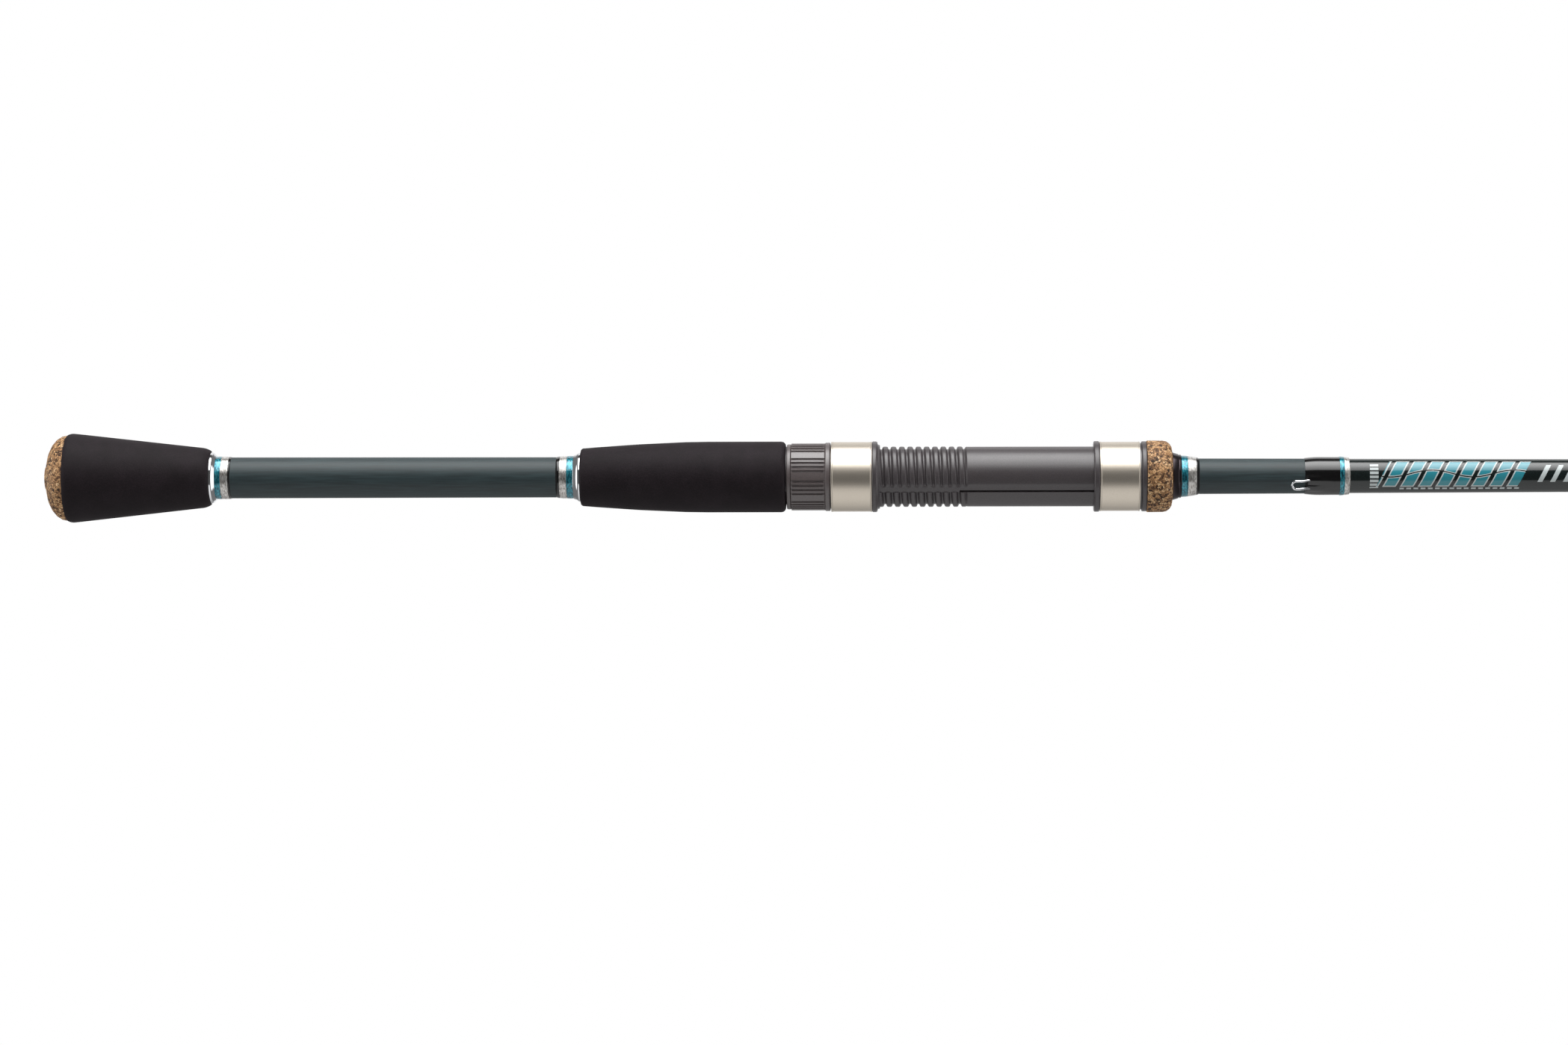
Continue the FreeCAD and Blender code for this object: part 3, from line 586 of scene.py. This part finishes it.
# Gunmetal anodised aluminium, turned: dark warm grey metal with a clear edge and fine rings.
gunmetal, tree, shader, place = new_finish("gunmetal_anodised", Metallic=1.0)
shader.inputs["Base Color"].default_value = linear("#4b4447")
mark = add(tree, "Mapping", {"Vector": place, "Scale": (10, 0.4, 0.4)}).outputs[0]
mark = add(tree, "TexNoise", {"Vector": mark, "Scale": 700.0, "Detail": 2.0}).outputs["Fac"]
polish = add(tree, "MapRange", {"Value": mark, "To Min": 0.16, "To Max": 0.26}).outputs[0]
wear(tree, shader, None, polish, mark, 0.004)
start, end, radius = span("front_winding_check")
cone = turned([
    (start, blank_radius(start), 0), (start, radius, 0.25), (end - 1.0, 8.05, 0.15), (end - 0.85, 7.75, 0),
    (end - 0.7, 7.75, 0), (end - 0.6, 7.95, 0.08), (end, 7.75, 0.1), (end, blank_radius(end), 0),
])
piece("gunmetal_front_check", cone, gunmetal, "rod", ["front_winding_check"])

# --- Hook keeper -----------------------------------------------------------------------------
# A staple of bright 0.9 mm wire. Its legs lie on the blank under a long winding of black
# thread in epoxy, and its rounded nose stands just clear of the blank to take a hook's point.


def wire(points, thickness, closed=False):
    """A round wire that runs smoothly through points, as a bmesh."""
    data = bpy.data.curves.new("wire", "CURVE")
    data.dimensions = "3D"
    data.bevel_depth, data.bevel_resolution, data.resolution_u = thickness, 4, 8
    data.use_fill_caps = True
    spline = data.splines.new("BEZIER")
    spline.bezier_points.add(len(points) - 1)
    spline.use_cyclic_u = closed
    for knot, point in zip(spline.bezier_points, points):
        knot.co = point
        knot.handle_left_type = knot.handle_right_type = "AUTO"
    carrier = bpy.data.objects.new("wire", data)
    mesh = bpy.data.meshes.new_from_object(carrier)
    bm = bmesh.new()
    bm.from_mesh(mesh)
    bpy.data.objects.remove(carrier)
    bpy.data.curves.remove(data)
    bpy.data.meshes.remove(mesh)
    return bm


wrap_start, wrap_end, _ = span("keeper_wrap")
wire_radius, apart = 0.45, 1.6
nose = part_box("hook_keeper")[0][0] * 1000 + wire_radius
lie = math.sqrt((blank_radius(wrap_start) + wire_radius) ** 2 - apart**2)
leg = [
    (465.0, apart, lie - 1.0), (461.0, apart, lie - 0.4), (458.0, apart, lie - 0.05),
    (455.0, 1.5, lie + 0.7),
]
bow = [(nose + 2.3, apart, lie + 0.85), (nose + 0.75, 1.35, lie + 0.85), (nose, 0, lie + 0.85)]
half = leg + bow
staple = wire(half + [(x, -y, z) for x, y, z in half[-2::-1]], wire_radius)
piece("bright_keeper_wire", staple, chrome, "rod", ["hook_keeper"])

stations = [wrap_start + (wrap_end - wrap_start) * k / 40 for k in range(41)]
winding = turned([
    (wrap_start, blank_radius(wrap_start) - 0.1, 0),
    *[(x, blank_radius(x) + 0.64 - 0.42 * max(1 - (x - wrap_start) / 5.5, 0) ** 2, 0) for x in stations],
    (wrap_end, blank_radius(wrap_end) - 0.1, 0),
], 144)
leg_angle = math.degrees(math.atan2(lie, apart))
for vert in winding.verts:
    if vert.co.yz.length > blank_radius(wrap_start):
        angle = math.degrees(math.atan2(vert.co.z, vert.co.y))
        near = min(abs(angle - leg_angle), abs(angle - 180 + leg_angle))
        lift = 0.5 * (1 - ease(near / 20)) * ease((vert.co.x - 455.9) / 0.9) * ease((466.5 - vert.co.x) / 8)
        vert.co.yz *= 1 + lift / vert.co.yz.length
piece("black_keeper_winding", winding, black_thread, "rod", ["keeper_wrap"], sharp=60)

# --- Line guides -----------------------------------------------------------------------------
# Each guide is a wire frame with one or two feet, bound to the blank by black thread in epoxy,
# and holds a polished ceramic ring in a hoop. They shrink from the handle to the tip.

# Stainless wire with a dark chrome plate: smooth grey metal, clear reflections.
dark_steel, tree, shader, place = new_finish("dark_plated_steel", Metallic=1.0)
shader.inputs["Base Color"].default_value = linear("#76767a")
mark = add(tree, "TexNoise", {"Vector": place, "Scale": 1500.0, "Detail": 2.0}).outputs["Fac"]
polish = add(tree, "MapRange", {"Value": mark, "To Min": 0.12, "To Max": 0.2}).outputs[0]
wear(tree, shader, None, polish, mark, 0.003)

# Aluminium oxide, fired and polished: very dark grey, hard gloss, faint half-millimetre mottle.
oxide, tree, shader, place = new_finish("polished_aluminium_oxide", Roughness=0.1, IOR=1.76)
mottle = add(tree, "TexNoise", {"Vector": place, "Scale": 2000.0, "Detail": 3.0}).outputs["Fac"]
tint = add(tree, "ValToRGB", {"Fac": mottle}, [(0.3, "#26262a"), (0.7, "#38383e")]).outputs["Color"]
wear(tree, shader, tint)


def ceramic_ring(name, node):
    """The ring of a guide in its place: (centre along, centre height, outer radius)."""
    low, high = (Vector(corner) * 1000 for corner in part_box(node))
    x, z, outer = (low.x + high.x) / 2, (low.z + high.z) / 2, (high.y - low.y) / 2
    half = (high.x - low.x) / 2
    ring = turned([
        (-half, outer, 0.1 * half), (-half, outer * 0.84, 0.6 * half), (half, outer * 0.84, 0.6 * half),
        (half, outer, 0.1 * half),
    ], 72)
    bmesh.ops.translate(ring, vec=(x, 0, z), verts=ring.verts)
    piece(name, ring, oxide, "rod", [node])
    return x, z, outer


def foot_winding(name, node, near, far, thickness):
    """A winding over a guide's foot: a ramp up, a long swell over the wires, a ramp down."""
    ahead = 1 if far > near else -1
    begin, finish = sorted((near + 2 * ahead, far + 3 * ahead))
    stations = [begin + (finish - begin) * k / 24 for k in range(25)]
    winding = turned([
        (begin, blank_radius(begin) - 0.1, 0),
        *[(x, blank_radius(x) + 0.08 + 0.2 * ease(min(x - begin, finish - x) / 1.2), 0) for x in stations],
        (finish, blank_radius(finish) - 0.1, 0),
    ], 60)
    for vert in winding.verts:
        below = -vert.co.z / vert.co.yz.length
        cover = ease((far - vert.co.x) * ahead / 3 + 0.9)
        lift = 1.8 * thickness * cover * ease((below - 0.4) / 0.5)
        if vert.co.yz.length > blank_radius(vert.co.x) + 0.02:
            vert.co.yz *= 1 + lift / vert.co.yz.length
    piece(name, winding, black_thread, "rod", [node], sharp=60)


foot_length = 15
guide_count = sum(node.startswith("guide_") and node.endswith("_ring") for node in slots)
for number in range(1, guide_count + 1):
    label = f"guide_{number}"
    x, z, outer = ceramic_ring(f"{label}_oxide_ring", f"{label}_ring")
    low, high = (Vector(corner) * 1000 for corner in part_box(f"{label}_frame"))
    thickness = high.y - outer
    grip = outer + thickness * 0.3
    around = [math.tau * k / 12 for k in range(12)]
    hoop = [(x, grip * math.cos(a), z + grip * math.sin(a)) for a in around]
    frame_wires = [wire(hoop, thickness * 0.7, True)]
    near, far = high.x - foot_length, high.x
    height = -z - blank_radius(x)
    lie = -blank_radius(near) - thickness * 0.65
    for side in (-1, 1):
        frame_wires.append(wire([
            (x, side * grip * 0.97, z + grip * 0.25),
            (x + (near - x) * 0.5, side * grip * 0.62, z + (lie - z) * 0.55),
            (near - 0.05 * height, side * thickness * 1.25, lie - 0.05 * height),
            (near + 2.5, side * thickness, lie), (far - 3, side * thickness * 0.8, lie + 0.1),
            (far, side * thickness * 0.6, lie + 0.2),
        ], thickness * 0.65))
    feet = [(near, far)]
    if low.x < x - outer:
        near, far = low.x + foot_length, low.x
        lie = -blank_radius(near) - thickness * 0.65
        frame_wires.append(wire([
            (x, 0, z + grip), (near + 0.1 * height, 0, lie - 0.08 * height), (near - 2.5, 0, lie),
            (far, 0, lie + 0.2),
        ], thickness * 0.65))
        feet.append((near, far))
    whole = bmesh.new()
    for part in frame_wires:
        mesh = bpy.data.meshes.new("wire")
        part.to_mesh(mesh)
        whole.from_mesh(mesh)
        bpy.data.meshes.remove(mesh)
        part.free()
    piece(f"{label}_steel_frame", whole, dark_steel, "rod", [f"{label}_frame"])
    for index, (near, far) in enumerate(feet, 1):
        foot_winding(f"{label}_winding_{index}", f"{label}_wrap", near, far, thickness)

# --- Tip-top ---------------------------------------------------------------------------------
# A short steel tube glued on the tip, with two struts and a hoop for the last ceramic ring, and
# a winding over the tube's end. Narrow teal and silver bands finish the guides' windings.
ceramic_ring("tip_oxide_ring", "tip_top_ring")
kept = {
    "tip_top_frame": dark_steel, "tip_wrap": black_thread, "guide_trims_teal": teal_thread,
    "guide_trims_silver": silver_thread,
}
for node, material in kept.items():
    for slot in frame["nodes"][node].material_slots:
        slot.material = material

# --- Studio ----------------------------------------------------------------------------------
# The camera looks at the handle square-on, from 27 degrees off the vertical towards +Y. Light
# comes from a long soft box beyond the rod's upper edge, with a pale grey room on the near
# side, a dark gap round the camera and a white sweep behind.
facing = math.radians(27)
toward = Vector((0, math.sin(facing), math.cos(facing)))
upward = Vector((0, math.cos(facing), -math.sin(facing)))
distance, frame_width, stand, middle, drop = 1.70, 0.5683, 0.322, 0.2673, 0.0166
lens = bpy.data.cameras.new("camera")
lens.sensor_width, lens.lens = 36.0, 36.0 * distance / frame_width
lens.shift_x = (middle - stand) / frame_width
camera = bpy.data.objects.new("camera", lens)
bpy.context.collection.objects.link(camera)
roll = Matrix.Rotation(math.radians(-0.1), 3, "Z")
turn = Matrix((Vector((1, 0, 0)), upward, toward)).transposed() @ roll
seen_from = Vector((stand, 0, 0)) + toward * distance - upward * drop
camera.matrix_world = Matrix.Translation(seen_from) @ turn.to_4x4()
bpy.context.scene.camera = camera

# The room's light by the angle round the rod, from the camera towards the soft box. The box ends
# short of the rod's ends, and the room's end walls are pale.
world = bpy.data.worlds.new("studio")
bpy.context.scene.world = world
world.use_nodes = True
tree = world.node_tree
ray = add(tree, "TexCoord", {}).outputs["Generated"]
rise = add(tree, "VectorMath", {0: ray, 1: upward}, operation="DOT_PRODUCT").outputs["Value"]
near = add(tree, "VectorMath", {0: ray, 1: toward}, operation="DOT_PRODUCT").outputs["Value"]
angle = add(tree, "Math", {0: rise, 1: near}, operation="ARCTAN2").outputs[0]
share = add(tree, "Math", {0: angle, 1: 1 / math.tau, 2: 0.5}, operation="MULTIPLY_ADD").outputs[0]
room = [
    (-180, "#6e6e6e"), (-158, "#6e6e6e"), (-152, "#3d3d3d"), (-118, "#525252"), (-80, "#686868"),
    (-44, "#6b6b6b"), (-35, "#646464"), (-30, "#202020"), (27, "#1c1c1c"), (34, "#202020"),
    (40, "#b0b0b0"), (55, "#d8d8d8"), (72, "#ffffff"), (92, "#ffffff"), (99, "#c0c0c0"),
    (104, "#1c1c1c"), (125, "#1c1c1c"), (130, "#6e6e6e"),
]
shades = [((a + 180) / 360, code) for a, code in room]
light = add(tree, "ValToRGB", {"Fac": share}, shades).outputs["Color"]
side = add(tree, "SeparateXYZ", {0: ray}).outputs["X"]
side = add(tree, "Math", {0: side}, operation="ABSOLUTE").outputs[0]
length = add(tree, "MapRange", {"Value": side, "From Min": 0.22, "From Max": 0.42}).outputs[0]
light = add(tree, "Mix", {0: length, 6: light, 7: linear("#303030")}, data_type="RGBA").outputs[2]
wall = add(tree, "MapRange", {"Value": side, "From Min": 0.84, "From Max": 0.92}).outputs[0]
light = add(tree, "Mix", {0: wall, 6: light, 7: linear("#9a9a9a")}, data_type="RGBA").outputs[2]
tree.links.new(light, tree.nodes["Background"].inputs["Color"])
tree.nodes["Background"].inputs["Strength"].default_value = 6.4

# A white floor and sweep that only the camera sees, so that they neither light nor mirror.
white, tree, shader, _ = new_finish("white_sweep", Roughness=1.0, Emission_Strength=1.0)
shader.inputs["Base Color"].default_value = (0, 0, 0, 1)
shader.inputs["Specular IOR Level"].default_value = 0.0
shader.inputs["Emission Color"].default_value = (1, 1, 1, 1)
for name in ("floor", "sweep"):
    bm = bmesh.new()
    if name == "floor":
        bmesh.ops.create_grid(bm, x_segments=1, y_segments=1, size=30)
        bmesh.ops.translate(bm, vec=(0, 0, -0.4), verts=bm.verts)
    else:
        bmesh.ops.create_uvsphere(bm, u_segments=48, v_segments=24, radius=32)
        bmesh.ops.reverse_faces(bm, faces=bm.faces)
    mesh = bpy.data.meshes.new(name)
    bm.to_mesh(mesh)
    bm.free()
    mesh.materials.append(white)
    stage = bpy.data.objects.new(name, mesh)
    bpy.context.collection.objects.link(stage)
    stage.visible_diffuse = stage.visible_glossy = stage.visible_transmission = stage.visible_shadow = False
bpy.context.scene.view_settings.view_transform = "Standard"
